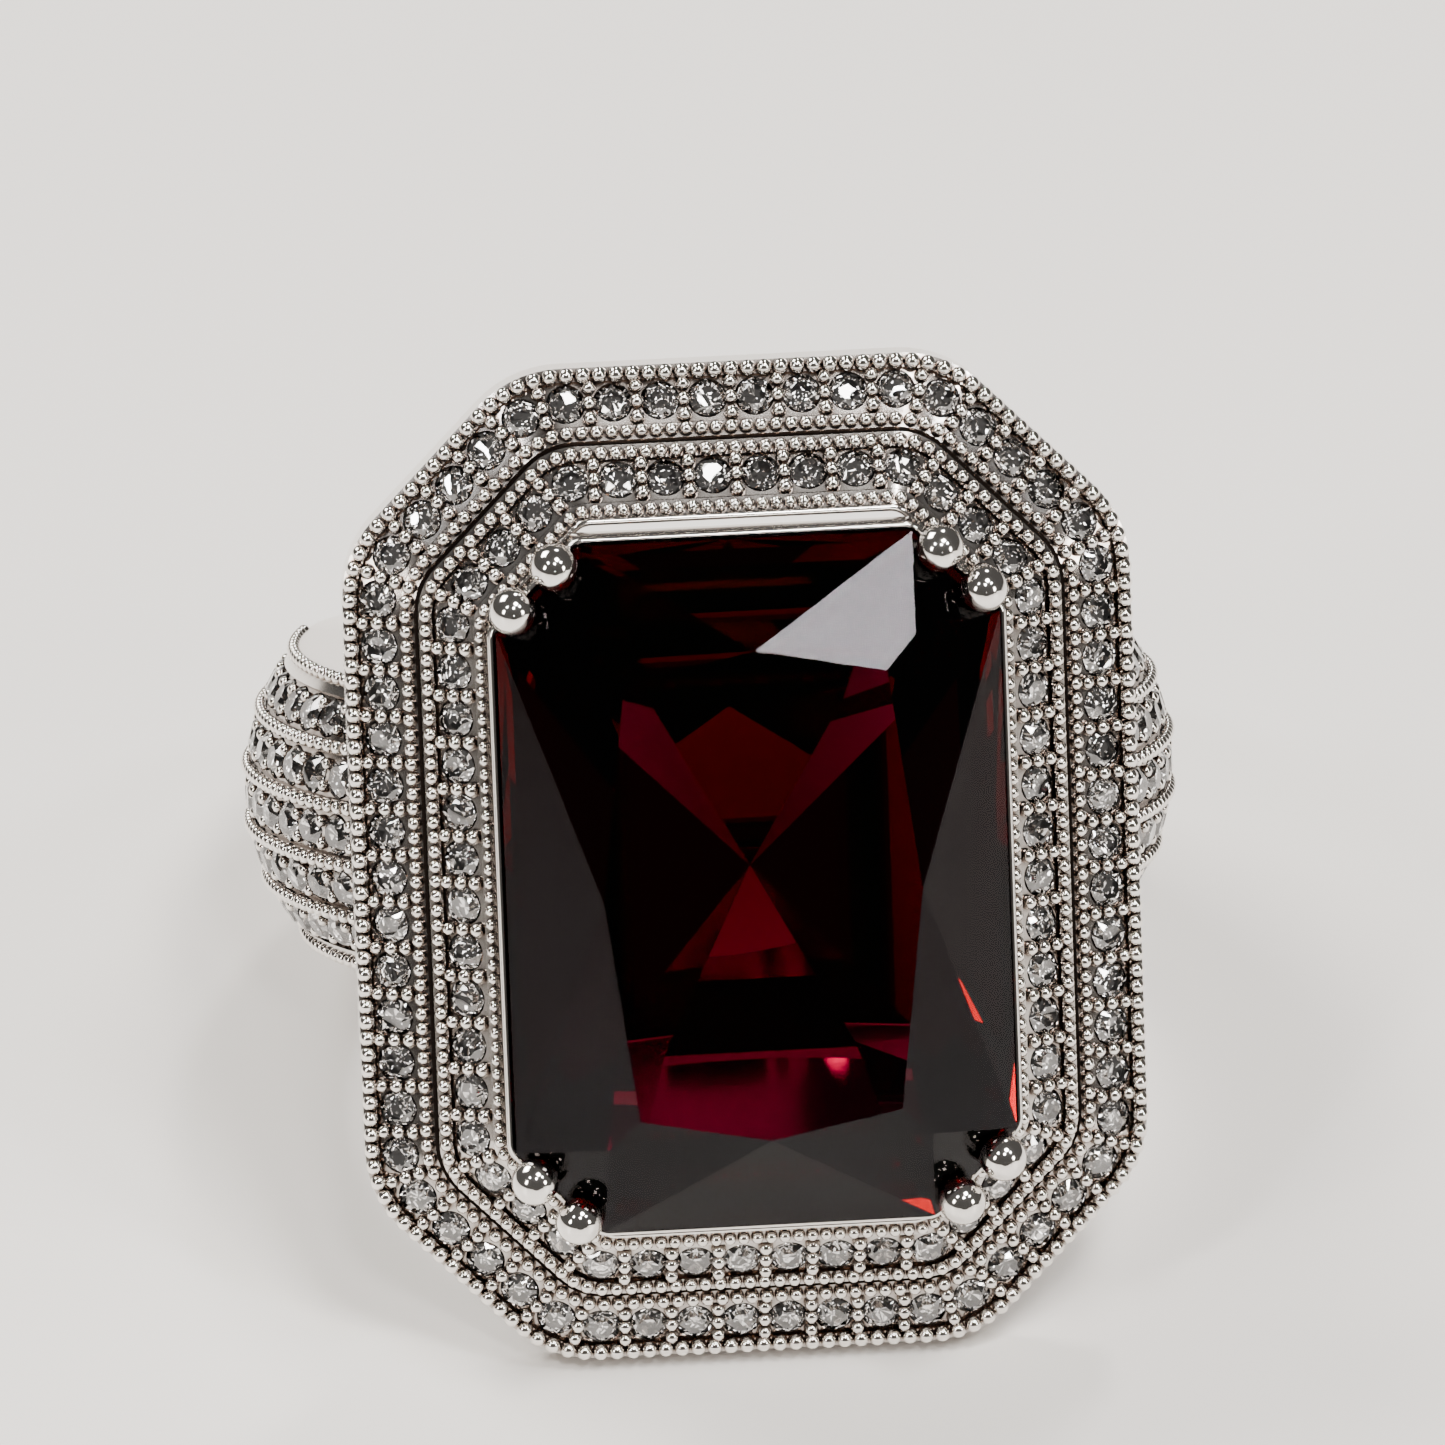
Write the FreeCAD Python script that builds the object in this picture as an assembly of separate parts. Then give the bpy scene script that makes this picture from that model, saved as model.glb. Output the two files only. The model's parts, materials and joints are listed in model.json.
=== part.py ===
"""Cocktail ring: a large cut-corner stone in a double pave halo, lying tilted back as it rests on a table.

The ring is built in its own local frame and then laid down. In the local frame the finger hole is centred
on the origin, +Y runs along the finger and +Z points out through the face of the centre stone.
"""
import FreeCAD, Part
import math
import os

from FreeCAD import Matrix, Placement, Rotation, Vector

os.makedirs("parts", exist_ok=True)

# Sizes are in millimetres and degrees.

# Band. Angles round the finger are measured from the middle of the back of the band.
finger_hole_diameter = 18.1
back_width = 5.6
back_thickness = 1.9
back_edge_thickness = 1.5
shoulder_width = 7.8
shoulder_thickness = 3.35
shoulder_edge_thickness = 1.85
shoulder_start_angle = 74.4
bridge_thickness = 0.65
bar_reach = 4.5
bar_width = 1.6
band_sections = 4

# Small stones. The brilliant's proportions are shares of its diameter.
halo_stone_diameter = 1.0
halo_stone_gap = 0.2
shoulder_stone_diameter = 1.1
shoulder_stone_gap = 0.2
shoulder_row_pitch = 1.54
shoulder_rows = 5
azure_diameter = 0.56
shoulder_drill_depth = 1.3
brilliant_sides = 8
brilliant_girdle = 0.03
brilliant_crown = 0.16
brilliant_pavilion = 0.43
brilliant_table = 0.56

# Halo: two sloping tiers round an octagonal opening
halo_side_margin = 3.75
halo_end_margin = 4.1
halo_corner_cut = 4.6
rim_corner_radius = 3.0
opening_corner_radius = 0.5
outer_tier_width = 1.8
inner_tier_width = 2.0
outer_tier_slope = 24.0
inner_tier_slope = 33.0
rail_width = 0.34
lip_width = 0.2
channel_depth = 0.12
tier_groove_width = 0.1
tier_groove_depth = 0.2
tier_step = 0.15
plate_thickness = 1.05
rim_height = 0.9
rim_wall = 0.55
rim_rise = 3.0

# Gallery between the shoulders and the halo
gallery_rail_offset = 2.6
gallery_rail_width = 0.9
gallery_rail_height = 0.8
gallery_post_diameter = 0.8
gallery_post_count = 24

# Centre stone, with its table up
stone_width = 13.0
stone_length = 18.0
stone_corner_cut = 2.2
crown_height = 1.9
girdle_thickness = 0.3
pavilion_depth = 5.6
table_half_width = 4.1
table_half_length = 6.4
table_shoulder_x = 3.38
table_shoulder_y = 5.74
corner_crown_angle = 37.0
side_pavilion_angle = 56.0
end_pavilion_angle = 50.0
corner_pavilion_angle = 54.0
main_facet_spread = 1.12
half_facet_spread = 1.08
half_facet_slope = 0.18
break_facet_spread = 1.05
break_facet_slope = 0.15
stone_rise_over_halo = 1.0

# Basket: two rails and four pairs of ball-ended claws
seat_rail_margin = 0.2
seat_rail_width = 0.9
seat_rail_height = 0.7
seat_rail_chamfer = 0.1
seat_drop = 0.1
base_rail_width = 0.9
base_rail_height = 0.7
base_rail_side_inset = 1.1
base_rail_end_inset = 1.2
base_rail_corner_cut = 2.0
claw_diameter = 0.84
claw_tip_diameter = 0.72
claw_ball_diameter = 1.24
claw_spacing = 1.55
claw_foot_spacing = 1.3
claw_stand_off = 0.3
claw_ball_stand_off = 0.18
claw_ball_rise = 0.4

# Clearances
stone_clearance = 0.02
claw_clearance = 0.02

# Values worked out from the sizes above
halo_width = stone_width + 2 * halo_side_margin
halo_length = stone_length + 2 * halo_end_margin
bore_radius = finger_hole_diameter / 2
bridge_top = bore_radius + bridge_thickness
rim_top = bridge_top + rim_rise
rim_bottom = rim_top - rim_height
opening_offset = outer_tier_width + inner_tier_width
outer_rise = math.tan(math.radians(outer_tier_slope))
inner_rise = math.tan(math.radians(inner_tier_slope))
outer_tier_top = rim_top + outer_tier_width * outer_rise
inner_tier_start = outer_tier_width + tier_groove_width
inner_tier_base = outer_tier_top + tier_step
opening_top = inner_tier_base + (opening_offset - inner_tier_start) * inner_rise
girdle_bottom = opening_top + stone_rise_over_halo
girdle_top = girdle_bottom + girdle_thickness
table_top = girdle_top + crown_height
culet_height = girdle_bottom - pavilion_depth
gallery_top = bridge_top + gallery_rail_height
base_rail_top = bridge_top + base_rail_height
base_rail_half_width = stone_width / 2 - base_rail_side_inset
base_rail_half_length = stone_length / 2 - base_rail_end_inset
AXIS_X = Vector(1, 0, 0)
AXIS_Y = Vector(0, 1, 0)
AXIS_Z = Vector(0, 0, 1)
QUARTERS = ((1, 1), (-1, 1), (-1, -1), (1, -1))
HALF_CORNER = math.radians(22.5)
BIG = 60.0
SAME_POINT = 1e-7


def octagon_points(half_width, half_length, cut):
    """The eight vertices of a rectangle with cut corners, anticlockwise from the right side's lower end."""
    return [
        (half_width, cut - half_length),
        (half_width, half_length - cut),
        (half_width - cut, half_length),
        (cut - half_width, half_length),
        (-half_width, half_length - cut),
        (-half_width, cut - half_length),
        (cut - half_width, -half_length),
        (half_width - cut, -half_length),
    ]


def rounded_octagon(half_width, half_length, cut, radius, height):
    """The octagon as eight lines joined by eight tangent arcs, in the plane at this height."""
    corners = [Vector(x, y, height) for x, y in octagon_points(half_width, half_length, cut)]
    tangent = radius * math.tan(HALF_CORNER)
    bulge = radius / math.cos(HALF_CORNER) - radius
    edges = []
    last_end = None
    first_start = None
    for index, corner in enumerate(corners):
        back = (corners[index - 1] - corner).normalize()
        ahead = (corners[(index + 1) % 8] - corner).normalize()
        start = corner + back * tangent
        middle = corner + (back + ahead).normalize() * bulge
        end = corner + ahead * tangent
        if last_end is None:
            first_start = start
        else:
            edges.append(Part.LineSegment(last_end, start).toShape())
        edges.append(Part.Arc(start, middle, end).toShape())
        last_end = end
    edges.append(Part.LineSegment(last_end, first_start).toShape())
    return edges


def inset_cut(cut, offset):
    """The corner cut of an octagon after its sides and corners move in by the same distance."""
    return cut - offset * (2 - math.sqrt(2))


def halo_loop(offset, height):
    """The halo's outline moved in by an offset. Its corners get tighter towards the opening."""
    share = offset / opening_offset
    radius = rim_corner_radius + (opening_corner_radius - rim_corner_radius) * share
    cut = inset_cut(halo_corner_cut, offset)
    return rounded_octagon(halo_width / 2 - offset, halo_length / 2 - offset, cut, radius, height)


def joining_face(first, second):
    """The face between two matching edges: flat where they are lines or level arcs, else part of a cone."""
    start = first.valueAt(first.FirstParameter)
    end = first.valueAt(first.LastParameter)
    other_start = second.valueAt(second.FirstParameter)
    other_end = second.valueAt(second.LastParameter)
    straight = isinstance(first.Curve, Part.Line)
    level = abs(start.z - other_start.z) < 1e-9
    if not (straight or level):
        return Part.makeLoft([Part.Wire(first), Part.Wire(second)], False, True).Faces[0]
    ends = [Part.LineSegment(end, other_end).toShape(), Part.LineSegment(other_start, start).toShape()]
    return Part.Face(Part.Wire([first, ends[0], second, ends[1]]))


def closed_solid(faces):
    """The solid inside a set of faces that meet edge to edge."""
    shell = Part.Shell(faces)
    shell.sewShape()
    solid = Part.Solid(shell)
    if solid.Volume < 0:
        solid.reverse()
    return solid


def ring_from_profile(profile, loop):
    """A closed ring whose section is the profile of (offset, height) points carried round a loop."""
    loops = [loop(offset, height) for offset, height in profile]
    faces = []
    for index, edges in enumerate(loops):
        following = loops[(index + 1) % len(loops)]
        faces.extend(joining_face(first, second) for first, second in zip(edges, following))
    return closed_solid(faces)


def outer_halo_profile():
    """Rim wall, two rails with the stone channel between them, and the sloping underside."""

    def top(offset):
        return rim_top + offset * outer_rise

    inner_rail = outer_tier_width - rail_width
    return [
        (0, rim_bottom),
        (0, rim_top),
        (rail_width, top(rail_width)),
        (rail_width, top(rail_width) - channel_depth),
        (inner_rail, top(inner_rail) - channel_depth),
        (inner_rail, top(inner_rail)),
        (outer_tier_width, outer_tier_top),
        (outer_tier_width, outer_tier_top - plate_thickness),
        (rim_wall, top(rim_wall) - plate_thickness),
        (rim_wall, rim_bottom),
    ]


def inner_halo_underside(offset):
    """Height of the inner tier's underside at an offset from the rim."""
    return inner_tier_base + (offset - inner_tier_start) * inner_rise - plate_thickness - tier_step


def inner_halo_profile():
    """Groove against the outer tier, two rails with the stone channel between them, and a plain inner lip."""

    def top(offset):
        return inner_tier_base + (offset - inner_tier_start) * inner_rise

    first_rail_end = inner_tier_start + rail_width
    last_rail_start = opening_offset - lip_width - rail_width
    lip_start = opening_offset - lip_width
    return [
        (outer_tier_width, inner_halo_underside(outer_tier_width)),
        (outer_tier_width, outer_tier_top - tier_groove_depth),
        (inner_tier_start, outer_tier_top - tier_groove_depth),
        (inner_tier_start, inner_tier_base),
        (first_rail_end, top(first_rail_end)),
        (first_rail_end, top(first_rail_end) - channel_depth),
        (last_rail_start, top(last_rail_start) - channel_depth),
        (last_rail_start, top(last_rail_start)),
        (lip_start, top(lip_start)),
        (opening_offset, top(lip_start)),
        (opening_offset, inner_halo_underside(opening_offset)),
    ]


def halo_places(offset, height, slope):
    """Even places for small stones along the loop at this offset, as placements with +Z out of the metal."""
    edges = halo_loop(offset, height)
    length = sum(edge.Length for edge in edges)
    count = 2 * int(length / (2 * (halo_stone_diameter + halo_stone_gap)))
    step = length / count
    # The walk starts in the middle of the upper end, so that the row mirrors left to right.
    start = sum(edge.Length for edge in edges[:5]) + edges[5].Length / 2
    tilt = math.radians(slope)
    places = []
    for index in range(count):
        along = (start + (index + 0.5) * step) % length
        for edge in edges:
            if along <= edge.Length:
                break
            along -= edge.Length
        parameter = edge.getParameterByLength(along)
        outward = edge.tangentAt(parameter).cross(AXIS_Z)
        normal = AXIS_Z * math.cos(tilt) + outward * math.sin(tilt)
        places.append(Placement(edge.valueAt(parameter), Rotation(AXIS_Z, normal)))
    return places


# Small stones and their seats

def small_stone(diameter):
    """Eight-sided brilliant: table, crown of triangles, thin girdle and a pointed pavilion."""
    radius = diameter / 2
    half_girdle = brilliant_girdle * diameter / 2
    crown = half_girdle + brilliant_crown * diameter
    culet = Vector(0, 0, -half_girdle - brilliant_pavilion * diameter)
    side = 2 * math.pi / brilliant_sides

    def around(distance, height, turn):
        angles = [side * (index + turn) for index in range(brilliant_sides)]
        return [Vector(distance * math.cos(a), distance * math.sin(a), height) for a in angles]

    upper = around(radius, half_girdle, 0)
    lower = around(radius, -half_girdle, 0)
    table = around(brilliant_table * radius, crown, 0.5)
    outlines = [table]
    for index in range(brilliant_sides):
        following = (index + 1) % brilliant_sides
        outlines.append([upper[index], upper[following], table[index]])
        outlines.append([table[index], upper[following], table[following]])
        outlines.append([lower[index], lower[following], upper[following], upper[index]])
        outlines.append([lower[following], lower[index], culet])
    return closed_solid([Part.Face(Part.makePolygon(outline + outline[:1])) for outline in outlines])


def seat_tool(diameter, depth):
    """The drill and setting bur for one small stone: a straight wall, a cone under it and an azure hole."""
    half_girdle = brilliant_girdle * diameter / 2
    wall = diameter / 2 + stone_clearance
    azure = azure_diameter / 2
    cone_drop = (wall - azure) * 2 * brilliant_pavilion
    points = [
        Vector(0, 0, diameter / 2),
        Vector(wall, 0, diameter / 2),
        Vector(wall, 0, -half_girdle),
        Vector(azure, 0, -half_girdle - cone_drop),
        Vector(azure, 0, -depth),
        Vector(0, 0, -depth),
    ]
    section = Part.Face(Part.makePolygon(points + points[:1]))
    return section.revolve(Vector(0, 0, 0), AXIS_Z, 360)


def set_at(shape, places):
    """One copy of the shape at each placement."""
    copies = []
    for place in places:
        copies.append(shape.transformed(place.toMatrix(), copy=True))
    return copies


# Band

def dome_arc(width, edge_radius, crown_radius):
    """Centre distance and radius of the arc that gives a band's section its domed outside."""
    rise = crown_radius - edge_radius
    radius = ((width / 2) ** 2 + rise ** 2) / (2 * rise)
    return crown_radius - radius, radius


def plain_section(angle, width, edge_thickness, thickness, inner_radius):
    """Domed section of the band at an angle round the finger from the middle of the back."""
    edge_radius = bore_radius + edge_thickness
    turn = math.radians(angle)
    outward = Vector(math.sin(turn), 0, -math.cos(turn))
    half = AXIS_Y * (width / 2)
    inner_low = outward * inner_radius - half
    inner_high = outward * inner_radius + half
    outer_low = outward * edge_radius - half
    outer_high = outward * edge_radius + half
    crown = outward * (bore_radius + thickness)
    edges = [
        Part.LineSegment(inner_high, inner_low).toShape(),
        Part.LineSegment(inner_low, outer_low).toShape(),
        Part.Arc(outer_low, crown, outer_high).toShape(),
        Part.LineSegment(outer_high, inner_high).toShape(),
    ]
    return Part.Wire(edges)


def shank():
    """Plain back of the band, narrowing smoothly from both shoulders to the middle of the back."""
    sections = []
    for index in range(-band_sections, band_sections + 1):
        share = (1 - math.cos(math.pi * index / band_sections)) / 2
        width = back_width + (shoulder_width - back_width) * share
        thickness = back_thickness + (shoulder_thickness - back_thickness) * share
        edge = back_edge_thickness + (shoulder_edge_thickness - back_edge_thickness) * share
        angle = shoulder_start_angle * index / band_sections
        sections.append(plain_section(angle, width, edge, thickness, bore_radius - bridge_thickness))
    body = Part.makeLoft(sections, True, False)
    bore = Part.makeCylinder(bore_radius, BIG, AXIS_Y * (-BIG / 2), AXIS_Y)
    return body.cut(bore)


def shoulder_arc():
    """Centre distance and radius of the shoulders' domed outside."""
    edge_radius = bore_radius + shoulder_edge_thickness
    return dome_arc(shoulder_width, edge_radius, bore_radius + shoulder_thickness)


def row_angles():
    """Angle of each stone row about the centre of the dome, from the lower edge to the upper edge."""
    radius = shoulder_arc()[1]
    step = shoulder_row_pitch / radius
    return [(index - (shoulder_rows - 1) / 2) * step for index in range(shoulder_rows)]


def shoulder_section():
    """The domed section with a shallow channel along each stone row, drawn in the plane through the back."""
    centre, radius = shoulder_arc()
    floor = radius - channel_depth
    half_channel = (shoulder_stone_diameter / 2 + 2 * stone_clearance) / radius
    end = math.asin(shoulder_width / 2 / radius)

    def on_dome(distance, angle):
        return Vector(0, distance * math.sin(angle), -centre - distance * math.cos(angle))

    def arc(distance, first, last):
        middle = on_dome(distance, (first + last) / 2)
        return Part.Arc(on_dome(distance, first), middle, on_dome(distance, last)).toShape()

    inner_low = Vector(0, -shoulder_width / 2, -bore_radius)
    inner_high = Vector(0, shoulder_width / 2, -bore_radius)
    edges = [Part.LineSegment(inner_high, inner_low).toShape()]
    edges.append(Part.LineSegment(inner_low, on_dome(radius, -end)).toShape())
    here = -end
    for row in row_angles():
        first = row - half_channel
        last = row + half_channel
        edges.append(arc(radius, here, first))
        edges.append(Part.LineSegment(on_dome(radius, first), on_dome(floor, first)).toShape())
        edges.append(arc(floor, first, last))
        edges.append(Part.LineSegment(on_dome(floor, last), on_dome(radius, last)).toShape())
        here = last
    edges.append(arc(radius, here, end))
    edges.append(Part.LineSegment(on_dome(radius, end), inner_high).toShape())
    return Part.Face(Part.Wire(edges))


def shoulder_places(row):
    """Placements of the stones along one row of the right shoulder, from the shank up to the head."""
    centre, radius = shoulder_arc()
    floor = radius - channel_depth
    distance = centre + floor * math.cos(row)
    step = (shoulder_stone_diameter + shoulder_stone_gap) / (centre + radius)
    margin = step / 2
    first = math.radians(shoulder_start_angle) + margin
    last = math.pi - math.acos(bridge_top / distance) - margin
    count = int((last - first) / step) + 1
    places = []
    for index in range(count):
        angle = first + margin + index * step
        outward = Vector(math.sin(angle), 0, -math.cos(angle))
        normal = outward * math.cos(row) + AXIS_Y * math.sin(row)
        point = outward * centre + normal * floor
        places.append(Placement(point, Rotation(AXIS_Z, normal)))
    return places


def right_shoulder(seats):
    """The right shoulder, cut level at the top where the gallery and the finger bars meet it."""
    sweep = 180 - shoulder_start_angle
    body = shoulder_section()
    body.rotate(Vector(0, 0, 0), AXIS_Y, -shoulder_start_angle)
    body = body.revolve(Vector(0, 0, 0), AXIS_Y, -sweep)
    above = Part.makeBox(BIG, BIG, BIG, Vector(-BIG / 2, -BIG / 2, bridge_top))
    inside = Part.makeBox(BIG, BIG, BIG, Vector(bar_reach - BIG, -BIG / 2, 0))
    return body.cut(above).cut(inside).cut(seats)


def finger_bar(side):
    """A bar over the finger between the shoulders, on the upper or the lower side of the opening."""
    low = min(side * (shoulder_width / 2 - bar_width), side * shoulder_width / 2)
    block = Part.makeBox(2 * bar_reach, bar_width, bridge_top, Vector(-bar_reach, low, 0))
    bore = Part.makeCylinder(bore_radius, BIG, AXIS_Y * (-BIG / 2), AXIS_Y)
    return block.cut(bore)


# Gallery

def gallery_rail():
    """Octagonal rail that stands on the shoulders."""
    inner = gallery_rail_offset + gallery_rail_width
    profile = [
        (gallery_rail_offset, bridge_top),
        (gallery_rail_offset, gallery_top),
        (inner, gallery_top),
        (inner, bridge_top),
    ]
    return ring_from_profile(profile, halo_loop)


def gallery_posts(halo):
    """Upright posts from the gallery rail to the underside of the halo, evenly spaced round it."""
    edges = halo_loop(gallery_rail_offset + gallery_rail_width / 2, gallery_top)
    length = sum(edge.Length for edge in edges)
    posts = []
    for index in range(gallery_post_count):
        along = (index + 0.5) * length / gallery_post_count
        for edge in edges:
            if along <= edge.Length:
                break
            along -= edge.Length
        foot = edge.valueAt(edge.getParameterByLength(along))
        post = Part.makeCylinder(gallery_post_diameter / 2, opening_top - gallery_top, foot, AXIS_Z)
        pieces = post.cut(halo).Solids
        posts.append(min(pieces, key=lambda piece: piece.BoundBox.ZMin))
    return posts


# Centre stone and its basket

def facet_reach(outline, turn):
    """Direction of a facet about the stone's axis, stretched as the stone is, and the outline's reach in it."""
    across = math.cos(turn) / (stone_width / 2)
    along = math.sin(turn) / (stone_length / 2)
    return across, along, max(x * across + y * along for x, y in outline)


def stone_planes():
    """The facets of the centre stone, as pairs of a point and an outward normal."""
    half_x = stone_width / 2
    half_y = stone_length / 2
    edge_x = half_x - stone_corner_cut
    edge_y = half_y - stone_corner_cut
    planes = [(Vector(0, 0, table_top), AXIS_Z)]

    def through(first, second, third):
        normal = (second - first).cross(third - first).normalize()
        if normal.dot(first - Vector(0, 0, (girdle_bottom + girdle_top) / 2)) < 0:
            normal = normal * -1
        planes.append((first, normal))

    def sloped(point, outward, angle):
        tilt = math.radians(angle)
        planes.append((point, outward * math.sin(tilt) + AXIS_Z * math.cos(tilt)))

    for side in (-1, 1):
        planes.append((Vector(side * half_x, 0, 0), Vector(side, 0, 0)))
        planes.append((Vector(0, side * half_y, 0), Vector(0, side, 0)))
        end = Vector(0, side * table_half_length, table_top)
        through(Vector(edge_x, side * half_y, girdle_top), Vector(-edge_x, side * half_y, girdle_top), end)
        flank = Vector(side * table_half_width, 0, table_top)
        through(Vector(side * half_x, edge_y, girdle_top), Vector(side * half_x, -edge_y, girdle_top), flank)
        sloped(Vector(side * half_x, 0, girdle_bottom), Vector(side, 0, 0), 180 - side_pavilion_angle)
        sloped(Vector(0, side * half_y, girdle_bottom), Vector(0, side, 0), 180 - end_pavilion_angle)
    for right, up in QUARTERS:
        diagonal = Vector(right, up, 0).normalize()
        cut_middle = Vector(
            right * (half_x - stone_corner_cut / 2), up * (half_y - stone_corner_cut / 2), girdle_bottom
        )
        table_corner = Vector(right * table_shoulder_x, up * table_shoulder_y, table_top)
        planes.append((cut_middle, diagonal))
        sloped(cut_middle + AXIS_Z * girdle_thickness, diagonal, corner_crown_angle)
        sloped(cut_middle, diagonal, 180 - corner_pavilion_angle)
        end = Vector(0, up * table_half_length, table_top)
        through(Vector(right * edge_x, up * half_y, girdle_top), end, table_corner)
        flank = Vector(right * table_half_width, 0, table_top)
        through(Vector(right * half_x, up * edge_y, girdle_top), flank, table_corner)
    outline = octagon_points(half_x, half_y, stone_corner_cut)

    def below(turn, spread, slope):
        """A pavilion facet that starts outside the girdle by its spread and closes in with depth."""
        across, along, reach = facet_reach(outline, turn)
        foot = Vector(across, along, 0) * (reach * spread / (across ** 2 + along ** 2))
        planes.append((foot + AXIS_Z * girdle_bottom, Vector(across, along, -reach * slope).normalize()))

    for index in range(8):
        below(math.radians(45 * index), main_facet_spread, main_facet_spread / pavilion_depth)
    for index in range(16):
        turn = math.radians(22.5 * index)
        below(turn + HALF_CORNER / 2, half_facet_spread, half_facet_slope)
        below(turn, break_facet_spread, break_facet_slope)
    return planes


def clipped(polygon, point, normal):
    """The part of a flat polygon that lies behind a plane."""
    kept = []
    for index, corner in enumerate(polygon):
        before = polygon[index - 1]
        height = (corner - point).dot(normal)
        last = (before - point).dot(normal)
        if (height > SAME_POINT) != (last > SAME_POINT):
            kept.append(before + (corner - before) * (last / (last - height)))
        if height <= SAME_POINT:
            kept.append(corner)
    distinct = []
    for index, corner in enumerate(kept):
        if corner.distanceToPoint(kept[index - 1]) > SAME_POINT:
            distinct.append(corner)
    return distinct


def centre_stone(grow=0.0):
    """The faceted stone, or a copy whose facets all stand out by a clearance."""
    planes = [(point + normal * grow, normal) for point, normal in stone_planes()]
    faces = []
    for index, (point, normal) in enumerate(planes):
        turn = Rotation(AXIS_Z, normal)
        facet = [point + turn.multVec(Vector(x * BIG, y * BIG, 0)) for x, y in QUARTERS]
        for other, (other_point, other_normal) in enumerate(planes):
            if other != index and facet:
                facet = clipped(facet, other_point, other_normal)
        if len(facet) > 2:
            faces.append(Part.Face(Part.makePolygon(facet + facet[:1])))
    return closed_solid(faces)


def stone_loop(offset, height):
    """The centre stone's outline moved in by an offset, or out by a negative one."""
    cut = inset_cut(stone_corner_cut, offset)
    half_width = stone_width / 2 - offset
    return rounded_octagon(half_width, stone_length / 2 - offset, cut, opening_corner_radius, height)


def seat_rail(stone_room, claws_room):
    """Rail under the girdle, with its seat cut to the pavilion and its corners cut round the claws."""
    top = girdle_bottom - seat_drop
    bottom = top - seat_rail_height
    outer = -seat_rail_margin
    inner = seat_rail_width - seat_rail_margin
    profile = [
        (outer, bottom),
        (outer, top - seat_rail_chamfer),
        (outer + seat_rail_chamfer, top),
        (inner, top),
        (inner, bottom),
    ]
    return ring_from_profile(profile, stone_loop).cut([stone_room] + claws_room)


def base_rail_loop(offset, height):
    """The basket's base rail outline moved in by an offset."""
    cut = inset_cut(base_rail_corner_cut, offset)
    half_width = base_rail_half_width - offset
    half_length = base_rail_half_length - offset
    return rounded_octagon(half_width, half_length, cut, opening_corner_radius, height)


def basket_base_rail():
    """Lower rail of the basket, standing on the shoulders inside the gallery rail."""
    profile = [
        (0, bridge_top),
        (0, base_rail_top),
        (base_rail_width, base_rail_top),
        (base_rail_width, bridge_top),
    ]
    return ring_from_profile(profile, base_rail_loop)


def claw(right, up, side, grow=0.0):
    """One claw: a tapered post from the base rail that leans out past the girdle and ends in a ball."""
    diagonal = Vector(right, up, 0).normalize()
    along = Vector(right, -up, 0).normalize() * side
    corner = Vector(
        right * (stone_width - stone_corner_cut) / 2, up * (stone_length - stone_corner_cut) / 2, girdle_top
    )
    base_cut = inset_cut(base_rail_corner_cut, base_rail_width / 2)
    foot = Vector(
        right * (base_rail_half_width - base_rail_width / 2 - base_cut / 2),
        up * (base_rail_half_length - base_rail_width / 2 - base_cut / 2),
        base_rail_top,
    )
    foot = foot + along * (claw_foot_spacing / 2)
    top = corner + along * (claw_spacing / 2) + diagonal * claw_stand_off
    ball = corner + along * (claw_spacing / 2) + diagonal * claw_ball_stand_off + AXIS_Z * claw_ball_rise
    lean = (top - foot).normalize()
    start = foot - lean * claw_diameter
    length = (top - start).Length
    post = Part.makeCone(claw_diameter / 2 + grow, claw_tip_diameter / 2 + grow, length, start, lean)
    shoulder = Part.makeSphere(claw_tip_diameter / 2 + grow, top)
    tip = Part.makeSphere(claw_ball_diameter / 2 + grow, ball)
    under = Part.makeBox(BIG, BIG, BIG, Vector(-BIG / 2, -BIG / 2, base_rail_top - BIG))
    return post.fuse([shoulder, tip]).cut(under)


def claw_pair(right, up, stone_room):
    """The two claws over one corner of the stone, each notched for the girdle."""
    return [claw(right, up, side).cut(stone_room) for side in (-1, 1)]


# Assembly

def resting_lean():
    """Tilt of the face above level when the ring lies on the halo's lower rim and the back of the band."""
    rim_y = -halo_length / 2
    back_y = -back_width / 2
    back_z = -(bore_radius + back_edge_thickness)
    return math.degrees(math.atan2(back_y - rim_y, rim_bottom - back_z))


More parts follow.
